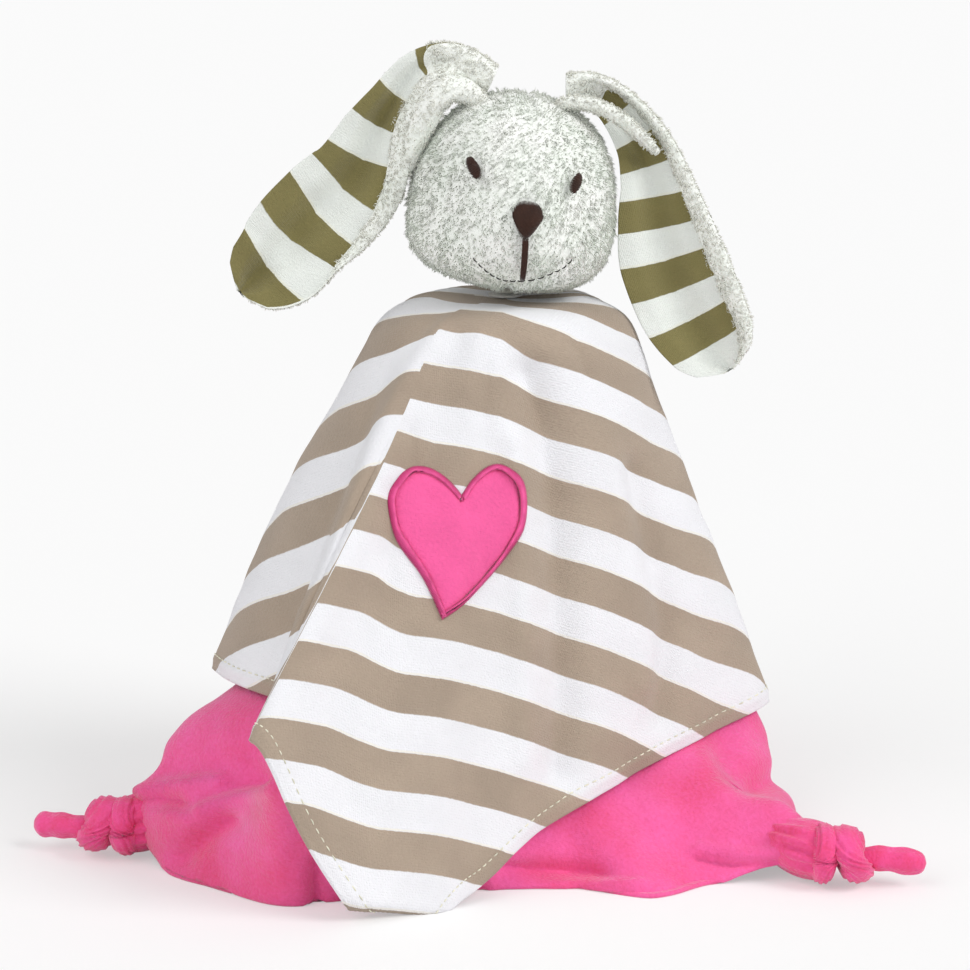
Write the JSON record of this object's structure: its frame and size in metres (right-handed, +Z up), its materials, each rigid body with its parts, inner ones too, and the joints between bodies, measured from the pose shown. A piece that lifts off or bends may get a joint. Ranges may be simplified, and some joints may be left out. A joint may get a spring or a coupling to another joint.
{
  "type": "comfort blanket lovey",
  "caption": "Comfort blanket toy: a plush rabbit head with long lined ears on a striped square cloth with a heart patch, over a pink cloth with knotted corners.",
  "frame": {"origin": "on the floor, under the middle of the bounding box", "axes": "+Z up, the face looks along -Y, +X to the right as seen from the front"},
  "size_m": [0.3162, 0.2588, 0.287],
  "materials": {
    "striped_jersey": "matte",
    "pink_jersey": "matte",
    "heart_cotton": "matte",
    "cream_plush": "matte",
    "stuffing": "matte",
    "brown_thread": "satin",
    "white_thread": "matte"
  },
  "bodies": {
    "blanket": {"striped_cloth": "striped_jersey", "under_cloth": "pink_jersey", "heart_patch": "heart_cotton", "heart_border": "heart_cotton", "knot_front_left": "pink_jersey", "knot_front_right": "pink_jersey", "knot_back_right": "pink_jersey", "knot_back_left": "pink_jersey", "neck_patch": "white_thread"},
    "neck": {"neck_core": "cream_plush"},
    "collar": {"neck_thread": "white_thread"},
    "head": {"head_stuffing": "stuffing", "head_plush_left": "cream_plush", "head_plush_right": "cream_plush", "head_plush_back": "cream_plush", "eye_left": "brown_thread", "eye_right": "brown_thread", "nose": "brown_thread", "mouth_line": "brown_thread"},
    "ear_left": {"ear_left_plush": "cream_plush", "ear_left_lining": "striped_jersey"},
    "ear_right": {"ear_right_plush": "cream_plush", "ear_right_lining": "striped_jersey"}
  },
  "joints": [
    {"name": "head_turn", "type": "hinge", "parent": "blanket", "child": "neck", "pos_m": [0.00989, -0.01836, 0.206], "axis": [0, 0, 1], "range_deg": [-45, 45]},
    {"name": "head_tilt", "type": "hinge", "parent": "neck", "child": "collar", "pos_m": [0.00989, -0.01836, 0.206], "axis": [0, 1, 0], "range_deg": [-18, 4]},
    {"name": "head_nod", "type": "hinge", "parent": "collar", "child": "head", "pos_m": [0.00989, -0.01836, 0.206], "axis": [1, 0, 0], "range_deg": [-9, 9]},
    {"name": "ear_left_lift", "type": "hinge", "parent": "head", "child": "ear_left", "pos_m": [0.00579, -0.01972, 0.27504], "axis": [0, 1, 0], "range_deg": [0, 100]},
    {"name": "ear_right_lift", "type": "hinge", "parent": "head", "child": "ear_right", "pos_m": [0.0314, -0.017, 0.27144], "axis": [0, -1, 0], "range_deg": [0, 100]}
  ]
}
